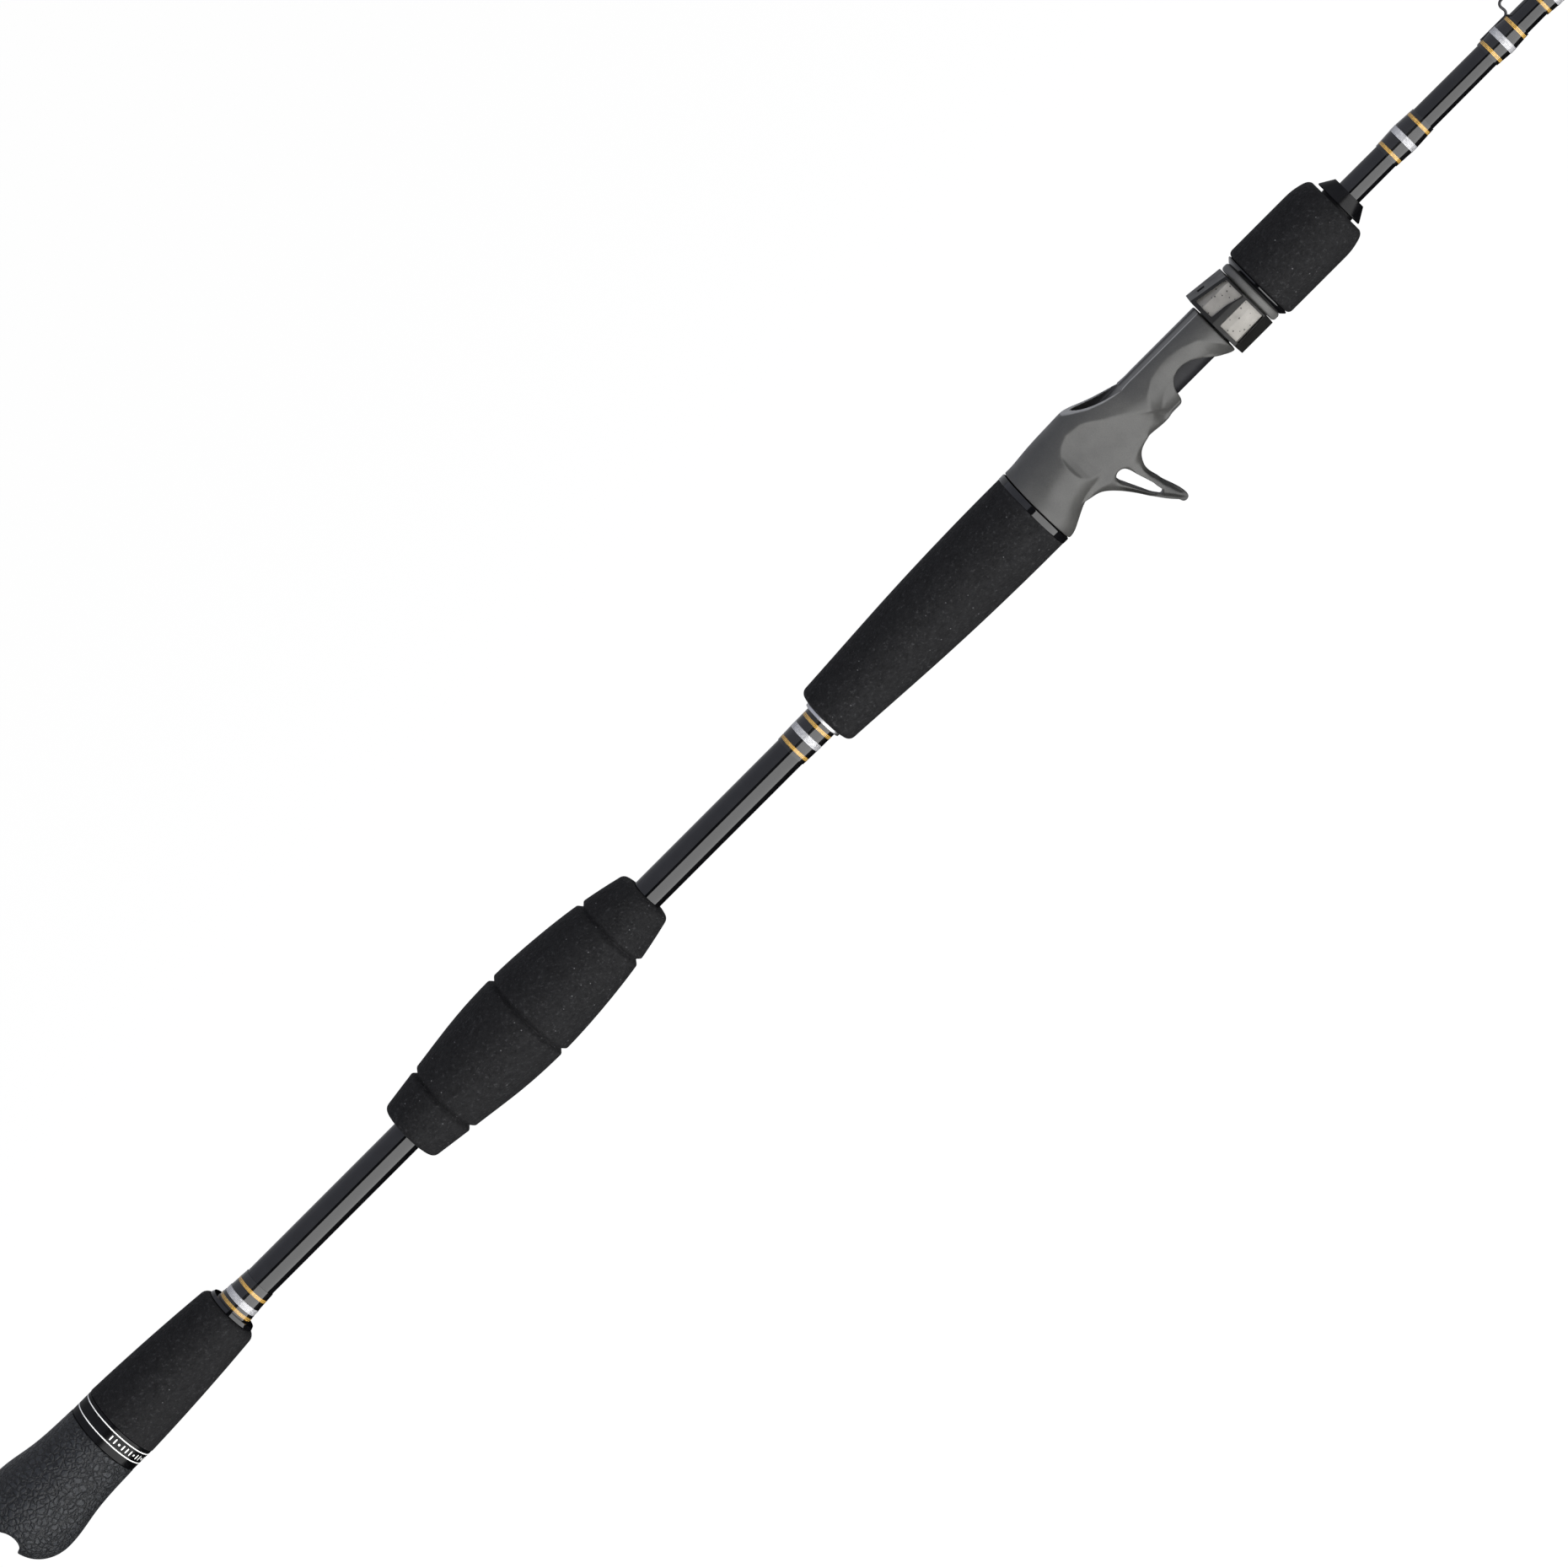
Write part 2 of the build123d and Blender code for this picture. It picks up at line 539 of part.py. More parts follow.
# ---------------------------------------------------------------- trim wraps and their bands
# Each wrap: its ends, the radius at its rear end, middle and front end, then its gold and silver bands
TRIM_WRAPS = {
    "rear_trim_wrap": ((104.1, 116.0), (6.5, 5.95, 5.6), (104.6, 112.2), (106.9,)),
    "grip_trim_wrap": ((354.6, 368.4), (5.6, 5.8, 5.85), (355.9, 365.8), (360.5,)),
    "blank_trim_wrap": ((617.2, 633.4), (4.5, 4.95, 4.5), (618.3, 630.8), (623.7,)),
    "keeper_wrap_rear": ((661.2, 674.8), (4.45, 4.95, 4.45), (662.3, 672.7), (666.7,)),
    "keeper_wrap_front": ((683.2, 696.0), (4.4, 4.9, 4.4), (683.8, 693.4), (687.5,)),
}
GOLD_W, SILVER_W, BAND_T = 1.2, 2.3, 0.15


def wrap_radius(ends, radii, x):
    """Outer radius of a wrap at x, on the two straight runs between its three radii."""
    share = 2 * (x - ends[0]) / (ends[1] - ends[0])
    first = int(share >= 1)
    return radii[first] + (radii[first + 1] - radii[first]) * (share - first)


def wrap_core(x):
    """Radius of what a wrap lies on: the handle tube or the blank."""
    return TUBE_R if x < TUBE_X[1] else blank_radius(x)


def bands_of(ends, radii, starts, width):
    """Draw the section of each band: its middle's radius, sunk by its thickness."""
    for start in starts:
        middle_r = wrap_radius(ends, radii, start + width / 2)
        with Locations((start + width / 2, middle_r)):
            Rectangle(width, BAND_T, align=(Align.CENTER, Align.MAX))


# Channel that the feet of the hook keeper lie in
with BuildPart() as keeper_channel:
    with BuildSketch(Plane.YZ.offset(660.0)):
        with Locations((0, blank_radius(663.0))):
            Rectangle(1.02, 2.2)
    extrude(amount=40)

for wrap_name, (ends, radii, gold_starts, silver_starts) in TRIM_WRAPS.items():
    with BuildPart() as trim_wrap:
        with BuildSketch(Plane.XZ):
            with BuildLine():
                Polyline(
                    (ends[0], wrap_core(ends[0])), (ends[0], radii[0]), (sum(ends) / 2, radii[1]),
                    (ends[1], radii[2]), (ends[1], wrap_core(ends[1])), close=True,
                )
            make_face()
        revolve(axis=Axis.X)
        for starts, width in ((gold_starts, GOLD_W), (silver_starts, SILVER_W)):
            for start in starts:
                middle_r = wrap_radius(ends, radii, start + width / 2)
                with BuildSketch(Plane.YZ.offset(start)):
                    Circle(middle_r + 1)
                    Circle(middle_r - BAND_T, mode=Mode.SUBTRACT)
                extrude(amount=width, mode=Mode.SUBTRACT)
        if wrap_name.startswith("keeper"):
            add(keeper_channel.part, mode=Mode.SUBTRACT)
    trim_wrap.part.label = wrap_name
    export_step(trim_wrap.part, f"parts/{wrap_name}.step")

with BuildPart() as gold_bands:
    with BuildSketch(Plane.XZ):
        for ends, radii, gold_starts, silver_starts in TRIM_WRAPS.values():
            bands_of(ends, radii, gold_starts, GOLD_W)
    revolve(axis=Axis.X)
    add(keeper_channel.part, mode=Mode.SUBTRACT)
gold_bands.part.label = "gold_bands"
export_step(gold_bands.part, "parts/gold_bands.step")

with BuildPart() as silver_bands:
    with BuildSketch(Plane.XZ):
        for ends, radii, gold_starts, silver_starts in TRIM_WRAPS.values():
            bands_of(ends, radii, silver_starts, SILVER_W)
    revolve(axis=Axis.X)
    add(keeper_channel.part, mode=Mode.SUBTRACT)
silver_bands.part.label = "silver_bands"
export_step(silver_bands.part, "parts/silver_bands.step")

KEEPER_WIRE_R = 0.45
KEEPER_TOP_Z = 9.2
keeper_foot_z = blank_radius(663.0) + KEEPER_WIRE_R
with BuildPart() as hook_keeper:
    with BuildLine():
        FilletPolyline(
            (663.0, 0, keeper_foot_z), (675.0, 0, keeper_foot_z), (674.4, 0, KEEPER_TOP_Z),
            (683.6, 0, KEEPER_TOP_Z), (683.0, 0, keeper_foot_z), (695.0, 0, keeper_foot_z),
            radius=1.6,
        )
    with BuildSketch(Plane.YZ.offset(663.0)):
        with Locations((0, keeper_foot_z)):
            Circle(KEEPER_WIRE_R)
    sweep()
hook_keeper.part.label = "hook_keeper"
export_step(hook_keeper.part, "parts/hook_keeper.step")

# ---------------------------------------------------------------- line guides
guide_places = []
guide_x, guide_gap = ROD_LENGTH, TIP_SPACING
for _ in GUIDE_BORE_R:
    guide_x -= guide_gap
    guide_gap *= SPACING_GROWTH
    guide_places.insert(0, guide_x)


# The blank's outer shape without its hole, to cut out of what is tied on it
with BuildPart() as solid_blank:
    with BuildSketch(Plane.XZ):
        with BuildLine():
            Polyline(
                (CHECK_END_X, 0), (CHECK_END_X, BLANK_R_AT_CHECK), (BLANK_X[1], BLANK_R_AT_TIP),
                (BLANK_X[1], 0), close=True,
            )
        make_face()
    revolve(axis=Axis.X)

for number, (guide_x, bore_r, height) in enumerate(zip(guide_places, GUIDE_BORE_R, GUIDE_HEIGHT), start=1):
    collar_r = bore_r + RING_WALL + COLLAR_WALL
    top_z = blank_radius(guide_x)
    reach = {1: 0.5 * height + 4, -1: 0.38 * height + 3}

    with BuildPart() as guide_ring:
        with BuildSketch(Plane.YZ.offset(guide_x - RING_HALF_W)):
            with Locations((0, height)):
                Circle(bore_r + RING_WALL)
                Circle(bore_r, mode=Mode.SUBTRACT)
        extrude(amount=2 * RING_HALF_W)
        fillet(guide_ring.edges(), 0.4)
    guide_ring.part.label = f"guide_ring_{number}"
    export_step(guide_ring.part, f"parts/guide_ring_{number}.step")

    with BuildPart() as guide_frame:
        for side, spread in ((1, 52), (-1, 28)):
            foot_x = guide_x + side * reach[side]
            for across in (-1, 1):
                start_y = across * (collar_r - 0.4) * sin(radians(spread))
                start_z = height - (collar_r - 0.4) * cos(radians(spread))
                with BuildLine():
                    leg = Line((guide_x, start_y, start_z), (foot_x, across * 0.55, top_z + 0.45))
                with BuildSketch(Plane(leg @ 0, z_dir=leg % 0)):
                    Circle(LEG_R)
                sweep(path=leg)
            foot_mid = foot_x + side * (FOOT_L / 2 - 0.8)
            with BuildSketch(Plane.XY.offset(blank_radius(foot_mid) - 0.3)):
                with Locations((foot_mid, 0)):
                    SlotOverall(FOOT_L, FOOT_W)
            extrude(amount=FOOT_T + 0.3)
        with BuildSketch(Plane.YZ.offset(guide_x - COLLAR_HALF_W)):
            with Locations((0, height)):
                Circle(collar_r)
        extrude(amount=2 * COLLAR_HALF_W)
        with BuildSketch(Plane.YZ.offset(guide_x - COLLAR_HALF_W - 3)):
            with Locations((0, height)):
                Circle(bore_r + RING_WALL)
        extrude(amount=2 * COLLAR_HALF_W + 6, mode=Mode.SUBTRACT)
        add(solid_blank.part, mode=Mode.SUBTRACT)
    guide_frame.part.label = f"guide_frame_{number}"
    export_step(guide_frame.part, f"parts/guide_frame_{number}.step")

    with BuildPart() as guide_wraps:
        for side in (1, -1):
            foot_x = guide_x + side * reach[side]
            wrap_start = min(foot_x + side * 1.5, foot_x + side * (FOOT_L + 1.5))
            wrap_r = blank_radius(foot_x)
            with BuildSketch(Plane.YZ.offset(wrap_start)):
                with BuildLine():
                    CenterArc((0, 0), wrap_r + 0.4, 0, 360)
                    CenterArc((-0.8, wrap_r + FOOT_T - 0.3), 0.75, 0, 360)
                    CenterArc((0.8, wrap_r + FOOT_T - 0.3), 0.75, 0, 360)
                make_hull()
            extrude(amount=FOOT_L)
        for side in (1, -1):
            foot_mid = guide_x + side * (reach[side] + FOOT_L / 2 - 0.8)
            with BuildSketch(Plane.XY.offset(blank_radius(foot_mid) - 0.31)):
                with Locations((foot_mid, 0)):
                    SlotOverall(FOOT_L + 0.02, FOOT_W + 0.02)
            extrude(amount=FOOT_T + 0.32, mode=Mode.SUBTRACT)
        add(solid_blank.part, mode=Mode.SUBTRACT)
    guide_wraps.part.label = f"guide_wraps_{number}"
    export_step(guide_wraps.part, f"parts/guide_wraps_{number}.step")

# ---------------------------------------------------------------- tip-top
TIP_RING_X = ROD_LENGTH - RING_HALF_W
TIP_TUBE_X = (2010.0, 2024.0)
TIP_TUBE_R = 1.6
tip_bore_r = GUIDE_BORE_R[-1]
tip_collar_r = tip_bore_r + RING_WALL + COLLAR_WALL

with BuildPart() as tip_ring:
    with BuildSketch(Plane.YZ.offset(TIP_RING_X - RING_HALF_W)):
        with Locations((0, TIP_RING_Z)):
            Circle(tip_bore_r + RING_WALL)
            Circle(tip_bore_r, mode=Mode.SUBTRACT)
    extrude(amount=2 * RING_HALF_W)
    fillet(tip_ring.edges(), 0.4)
tip_ring.part.label = "tip_ring"
export_step(tip_ring.part, "parts/tip_ring.step")

with BuildPart() as tip_frame:
    with BuildSketch(Plane.YZ.offset(TIP_TUBE_X[0])):
        Circle(TIP_TUBE_R)
    extrude(amount=TIP_TUBE_X[1] - TIP_TUBE_X[0])
    for across, spread in ((-1, 75), (0, 0), (1, 75)):
        start_y = across * (tip_collar_r - 0.4) * sin(radians(spread))
        start_z = TIP_RING_Z - (tip_collar_r - 0.4) * cos(radians(spread))
        with BuildLine():
            leg = Line((TIP_RING_X, start_y, start_z), (2019.5 + 3 * (across == 0), across * 0.9, 0.9))
        with BuildSketch(Plane(leg @ 0, z_dir=leg % 0)):
            Circle(LEG_R)
        sweep(path=leg)
    with BuildSketch(Plane.YZ.offset(TIP_RING_X - COLLAR_HALF_W)):
        with Locations((0, TIP_RING_Z)):
            Circle(tip_collar_r)
    extrude(amount=2 * COLLAR_HALF_W)
    with BuildSketch(Plane.YZ.offset(TIP_RING_X - COLLAR_HALF_W - 4)):
        with Locations((0, TIP_RING_Z)):
            Circle(tip_bore_r + RING_WALL)
    extrude(amount=2 * COLLAR_HALF_W + 6, mode=Mode.SUBTRACT)
    add(solid_blank.part, mode=Mode.SUBTRACT)
tip_frame.part.label = "tip_frame"
export_step(tip_frame.part, "parts/tip_frame.step")

with BuildPart() as tip_wrap:
    with BuildSketch(Plane.XZ):
        with BuildLine():
            Polyline(
                (2000.0, blank_radius(2000.0)), (2001.0, 1.6), (2009.9, 1.75),
                (2009.9, blank_radius(2009.9)), close=True,
            )
        make_face()
    revolve(axis=Axis.X)
tip_wrap.part.label = "tip_wrap"
export_step(tip_wrap.part, "parts/tip_wrap.step")
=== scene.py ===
"""Looks of the casting rod: camera, light, materials, turned grips and the moulded reel seat.

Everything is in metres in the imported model's frame: X runs from the butt to the tip, Z is the reel's
side, and the trigger points to -Z.
"""

import json
import math

import bpy
import numpy as np
from mathutils import Matrix, Vector


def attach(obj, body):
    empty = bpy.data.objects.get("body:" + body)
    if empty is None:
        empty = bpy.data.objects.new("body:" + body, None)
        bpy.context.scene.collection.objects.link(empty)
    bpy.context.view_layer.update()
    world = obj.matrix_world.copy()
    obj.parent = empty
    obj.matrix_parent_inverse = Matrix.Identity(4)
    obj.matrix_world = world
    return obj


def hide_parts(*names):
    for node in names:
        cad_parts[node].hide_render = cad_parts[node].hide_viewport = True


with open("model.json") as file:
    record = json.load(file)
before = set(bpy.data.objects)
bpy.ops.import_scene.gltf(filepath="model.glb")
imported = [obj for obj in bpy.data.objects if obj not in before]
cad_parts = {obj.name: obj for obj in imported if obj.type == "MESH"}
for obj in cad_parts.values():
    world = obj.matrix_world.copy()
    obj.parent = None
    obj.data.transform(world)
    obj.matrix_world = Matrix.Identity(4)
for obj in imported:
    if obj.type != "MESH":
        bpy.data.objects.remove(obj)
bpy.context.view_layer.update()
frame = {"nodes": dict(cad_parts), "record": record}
nodes = frame["nodes"]
body_of_node = {
    node: body for body, members in frame["record"]["behaviour"]["bodies"].items() for node in members
}
slot_of_node = {row["node"]: row["material_slot"] for row in frame["record"]["subparts"]}
MM = 0.001

# ---------------------------------------------------------------- camera, floor and light
# The camera stands beside CAMERA_FOOT_X on the rod and looks at TARGET_X, a little to the trigger's side of
# the rod's axis
CAMERA_FOOT_X = 0.605
CAMERA_DISTANCE = 2.57
CAMERA_ELEVATION = math.radians(10)
TARGET_X = 0.3459
TARGET_BELOW_AXIS = 0.0057
VIEW_WIDTH = 0.4919
SENSOR = 36.0
FLOOR_Z = -0.55
FLOOR_HALF = 30.0
LIGHT_CENTRE_X = 0.75
LIGHT_LENGTH = 6.0


def add_camera():
    """A long lens, square to the rod in front of the fore grip, rolled so that the rod rises to the right."""
    place = Vector(
        (
            CAMERA_FOOT_X,
            -CAMERA_DISTANCE * math.cos(CAMERA_ELEVATION),
            CAMERA_DISTANCE * math.sin(CAMERA_ELEVATION),
        )
    )
    target = Vector((TARGET_X, 0, 0))
    forward = (target - place).normalized()
    along = Vector((1, 0, 0)) - forward * forward.x
    along.normalize()
    reel_side = forward.cross(along) * -1
    if reel_side.z < 0:
        reel_side = -reel_side
    forward = (target - reel_side * TARGET_BELOW_AXIS - place).normalized()
    distance = (target - place).length
    right = (along - reel_side).normalized()
    up = (along + reel_side).normalized()
    right = (right - forward * right.dot(forward)).normalized()
    up = (up - forward * up.dot(forward) - right * up.dot(right)).normalized()
    data = bpy.data.cameras.new("camera")
    data.sensor_width = SENSOR
    data.lens = SENSOR * distance / VIEW_WIDTH
    data.clip_start = 0.05
    data.clip_end = 60
    camera = bpy.data.objects.new("camera", data)
    rotation = Matrix((right, up, -forward)).transposed().to_4x4()
    camera.matrix_world = Matrix.Translation(place) @ rotation
    bpy.context.scene.collection.objects.link(camera)
    bpy.context.scene.camera = camera


def add_panel(name, angle_from, angle_to, radius, radiance, tint=(1, 1, 1), seen_in_gloss=True):
    """A long soft box beside the rod. Angles are round the rod from the camera's direction, up positive."""
    ends = []
    for degrees in (angle_from, angle_to):
        turn = math.radians(degrees) + CAMERA_ELEVATION
        ends.append(Vector((0, -math.cos(turn), math.sin(turn))) * radius)
    middle = (ends[0] + ends[1]) / 2
    across = ends[1] - ends[0]
    data = bpy.data.lights.new(name, "AREA")
    data.shape = "RECTANGLE"
    data.size = LIGHT_LENGTH
    data.size_y = across.length
    data.energy = radiance * math.pi * LIGHT_LENGTH * across.length
    data.color = tint
    light = bpy.data.objects.new(name, data)
    z_axis = middle.normalized()
    x_axis = Vector((1, 0, 0))
    y_axis = z_axis.cross(x_axis)
    rotation = Matrix((x_axis, y_axis, z_axis)).transposed().to_4x4()
    light.matrix_world = Matrix.Translation(middle + Vector((LIGHT_CENTRE_X, 0, 0))) @ rotation
    light.visible_camera = False
    light.visible_glossy = seen_in_gloss
    bpy.context.scene.collection.objects.link(light)


def add_stage():
    """Pale floor, two long soft boxes in front of the rod with a gap between them, one over its crest and one
    behind it, and a dim surround."""
    corners = [(FLOOR_HALF * x, FLOOR_HALF * y, 0) for x, y in ((-1, -1), (1, -1), (1, 1), (-1, 1))]
    mesh = bpy.data.meshes.new("floor")
    mesh.from_pydata(corners, [], [(0, 1, 2, 3)])
    floor = bpy.data.objects.new("floor", mesh)
    floor.location.z = FLOOR_Z
    floor.visible_glossy = False
    bpy.context.scene.collection.objects.link(floor)
    material = bpy.data.materials.new("floor")
    material.use_nodes = True
    shader = material.node_tree.nodes["Principled BSDF"]
    shader.inputs["Base Color"].default_value = (0.55, 0.55, 0.55, 1)
    shader.inputs["Roughness"].default_value = 1.0
    shader.inputs["Specular IOR Level"].default_value = 0.0
    shader.inputs["Emission Color"].default_value = (1, 1, 1, 1)
    shader.inputs["Emission Strength"].default_value = 0.925
    mesh.materials.append(material)
    world = bpy.data.worlds.new("surround")
    bpy.context.scene.world = world
    world.use_nodes = True
    background = world.node_tree.nodes["Background"]
    background.inputs["Color"].default_value = (1, 1, 1, 1)
    background.inputs["Strength"].default_value = 0.12
    world.cycles_visibility.glossy = False
    add_panel("upper_box", 8.5, 108, 1.3, 0.68, (0.93, 0.96, 1.1))
    add_panel("lower_box", -8.5, -93, 1.3, 3.9)
    add_panel("crest_box", 109, 170, 1.6, 0.55, (0.96, 0.98, 1.04))
    add_panel("rear_box", 172, 215, 1.6, 1.5, seen_in_gloss=False)
    bpy.context.scene.view_settings.view_transform = "Standard"


# ---------------------------------------------------------------- node graphs
class Graph:
    """A material's node graph, with short ways to add the patterns used below."""

    def __init__(self, name, colour, roughness, metallic=0.0, specular=0.5, coat=0.0, coat_roughness=0.03):
        self.material = bpy.data.materials.new(name)
        self.material.use_nodes = True
        self.tree = self.material.node_tree
        self.shader = self.tree.nodes["Principled BSDF"]
        self.shader.inputs["Base Color"].default_value = (*colour, 1)
        self.shader.inputs["Roughness"].default_value = roughness
        self.shader.inputs["Metallic"].default_value = metallic
        self.shader.inputs["Specular IOR Level"].default_value = specular
        self.shader.inputs["Coat Weight"].default_value = coat
        self.shader.inputs["Coat Roughness"].default_value = coat_roughness
        self.place = self.tree.nodes.new("ShaderNodeTexCoord").outputs["Object"]

    def node(self, kind, inputs=None, **settings):
        """A new node. Each input is a value, or another node's output to link to it."""
        made = self.tree.nodes.new(kind)
        for key, value in settings.items():
            setattr(made, key, value)
        for key, value in (inputs or {}).items():
            if isinstance(value, bpy.types.NodeSocket):
                self.tree.links.new(value, made.inputs[key])
            else:
                made.inputs[key].default_value = value
        return made

    def noise(self, size, detail=3.0, roughness=0.5, place=None):
        """Smooth noise whose blotches are about size metres across."""
        inputs = {"Vector": place or self.place, "Scale": 1 / size, "Detail": detail, "Roughness": roughness}
        return self.node("ShaderNodeTexNoise", inputs).outputs["Fac"]

    def cells(self, size, feature="F1", output="Distance", place=None, randomness=1.0):
        """Voronoi cells about size metres across."""
        inputs = {"Vector": place or self.place, "Scale": 1 / size, "Randomness": randomness}
        return self.node("ShaderNodeTexVoronoi", inputs, feature=feature).outputs[output]

    def specks(self, size, reach, threshold):
        """Round specks of radius reach, in the cells whose random shade is over the threshold."""
        shade = self.node("ShaderNodeSeparateColor", {"Color": self.cells(size, output="Color")}).outputs[0]
        chosen = self.maths("GREATER_THAN", shade, threshold)
        return self.maths("MULTIPLY", chosen, self.maths("LESS_THAN", self.cells(size), reach))

    def steps(self, value, *stops):
        """A colour ramp of grey levels or colours at places from 0 to 1."""
        ramp = self.node("ShaderNodeValToRGB", {"Fac": value}).color_ramp
        while len(ramp.elements) < len(stops):
            ramp.elements.new(0.5)
        for element, (place, colour) in zip(ramp.elements, stops):
            element.position = place
            element.color = (*colour, 1) if isinstance(colour, tuple) else (colour, colour, colour, 1)
        return self.tree.nodes[-1].outputs["Color"]

    def maths(self, operation, *values):
        """The result of one sum on values or outputs."""
        made = self.node("ShaderNodeMath", operation=operation)
        for socket, value in zip(made.inputs, values):
            if isinstance(value, bpy.types.NodeSocket):
                self.tree.links.new(value, socket)
            else:
                socket.default_value = value
        return made.outputs[0]

    def mix(self, share, first, second, blend="MIX"):
        """The first colour with that share of the second blended over it."""
        made = self.node("ShaderNodeMix", data_type="RGBA", blend_type=blend)
        for index, value in ((0, share), (6, first), (7, second)):
            if isinstance(value, bpy.types.NodeSocket):
                self.tree.links.new(value, made.inputs[index])
            elif isinstance(value, tuple):
                made.inputs[index].default_value = (*value, 1)
            else:
                made.inputs[index].default_value = value
        return made.outputs[2]

    def bump(self, height, depth, strength=1.0, after=None):
        """Surface relief of depth metres."""
        inputs = {"Height": height, "Distance": depth, "Strength": strength}
        if after is not None:
            inputs["Normal"] = after
        return self.node("ShaderNodeBump", inputs).outputs["Normal"]

    def feed(self, socket, value):
        """Links an output to one of the shader's inputs."""
        self.tree.links.new(value, self.shader.inputs[socket])

    def stretched(self, x=1.0, y=1.0, z=1.0):
        """The place, scaled along each axis."""
        return self.node("ShaderNodeMapping", {"Vector": self.place, "Scale": (x, y, z)}).outputs["Vector"]


def foam():
    """Closed-cell grip foam: near black, matt, with fine open pores, soft mottling and a few pale specks;
    painted shade darkens the middle of each pore.
    """
    g = Graph("foam", (0.006, 0.006, 0.007), 0.75, specular=0.2)
    dark, light = (0.0018, 0.0018, 0.0022), (0.006, 0.006, 0.0066)
    mottle = g.steps(g.noise(2.6 * MM, 6, 0.7), (0.35, dark), (0.7, light))
    pores = g.cells(0.8 * MM)
    # Painted shade: the colour is darker towards the middle of each pore
    painted_pore_shade = g.steps(pores, (0.0, 0.3), (0.4, 1.0))
    flecks = g.steps(g.noise(1.1 * MM, 5, 0.75), (0.57, 0.0), (0.63, 1.0))
    speck = g.specks(2.3 * MM, 0.09, 0.72)
    colour = g.mix(1.0, mottle, painted_pore_shade, "MULTIPLY")
    colour = g.mix(flecks, colour, (0.0175, 0.0175, 0.0185))
    g.feed("Base Color", g.mix(speck, colour, (0.08, 0.08, 0.083)))
    g.feed("Roughness", g.steps(g.noise(1.2 * MM, 4), (0.2, 0.66), (0.8, 0.9)))
    relief = g.bump(pores, 0.2 * MM, 0.8)
    g.feed("Normal", g.bump(g.noise(1.5 * MM, 5, 0.7), 0.5 * MM, 0.8, relief))
    return g.material


def rubber():
    """Butt cap rubber: dark grey with a leathery grain of short wrinkles. Painted shade darkens the
    creases between them.
    """
    g = Graph("rubber", (0.012, 0.013, 0.015), 0.5, specular=0.3)
    warp = g.node("ShaderNodeTexNoise", {"Vector": g.place, "Scale": 380.0, "Detail": 3.0}).outputs["Color"]
    reach = (3 * MM, 3 * MM, 3 * MM)
    moved = g.node("ShaderNodeVectorMath", {0: warp, 1: reach}, operation="MULTIPLY").outputs[0]
    place = g.node("ShaderNodeVectorMath", {0: g.place, 1: moved}, operation="ADD").outputs[0]
    edges = g.cells(2.1 * MM, "DISTANCE_TO_EDGE", place=place)
    creases = g.steps(edges, (0.0, 0.0), (0.22, 1.0))
    tone = g.steps(g.noise(6 * MM, 5), (0.3, (0.009, 0.010, 0.0118)), (0.7, (0.0165, 0.018, 0.0205)))
    # Painted shade: the colour is darker in the creases at the edges of the grain's cells
    g.feed("Base Color", g.mix(1.0, tone, g.steps(edges, (0.0, 0.35), (0.2, 1.0)), "MULTIPLY"))
    g.feed("Roughness", g.steps(g.noise(1.6 * MM, 4), (0.25, 0.36), (0.75, 0.62)))
    relief = g.bump(creases, 0.42 * MM, 1.0)
    g.feed("Normal", g.bump(g.noise(1.2 * MM, 4, 0.65), 0.42 * MM, 0.9, relief))
    return g.material


def gloss_black(name="gloss_black", coat=1.0, coat_roughness=0.025):
    """Black lacquer under a hard clear coat, with the faint ripple of a dipped coat."""
    g = Graph(name, (0.002, 0.002, 0.0025), 0.3, specular=0.0, coat=coat, coat_roughness=coat_roughness)
    tone = g.steps(g.noise(4 * MM, 3), (0.3, (0.0015, 0.0015, 0.0018)), (0.7, (0.0035, 0.0035, 0.004)))
    g.feed("Base Color", tone)
    ripple = g.noise(6 * MM, 2, place=g.stretched(0.35, 1, 1))
    g.tree.links.new(g.bump(ripple, 0.006 * MM, 1.0), g.shader.inputs["Coat Normal"])
    g.feed("Normal", g.bump(g.noise(0.6 * MM, 3), 0.01 * MM, 0.5))
    return g.material


def graphite(
    name="graphite", dark=(0.033, 0.033, 0.0315), light=(0.052, 0.0512, 0.048), rough=(0.36, 0.5),
    specular=0.4, with_painted_light=False,
):
    """Moulded graphite-filled nylon: warm grey, satin, with a fine grain and slow tonal drift. When asked, it
    paints a highlight and shade into the colour, by two values on each of a piece's points."""
    g = Graph(name, light, 0.45, specular=specular)
    drift = g.steps(g.noise(14 * MM, 4, 0.6), (0.25, dark), (0.75, light))
    grain = g.steps(g.noise(0.3 * MM, 2), (0.25, 0.8), (0.75, 1.15))
    colour = g.mix(1.0, drift, grain, "MULTIPLY")
    if with_painted_light:
        # Painted highlight (pale grey) and painted shade (near black) are mixed into the colour by point
        # values
        pale = g.node("ShaderNodeAttribute", attribute_name="painted_rim_highlight").outputs["Fac"]
        painted_shade_share = g.node("ShaderNodeAttribute", attribute_name="painted_bevel_shade").outputs["Fac"]
        colour = g.mix(pale, colour, (0.27, 0.27, 0.265))
        colour = g.mix(painted_shade_share, colour, (0.007, 0.007, 0.0066))
    g.feed("Base Color", colour)
    g.feed("Roughness", g.steps(g.noise(5 * MM, 4), (0.25, rough[0]), (0.75, rough[1])))
    g.feed("Normal", g.bump(g.noise(0.3 * MM, 3), 0.012 * MM, 0.6))
    return g.material


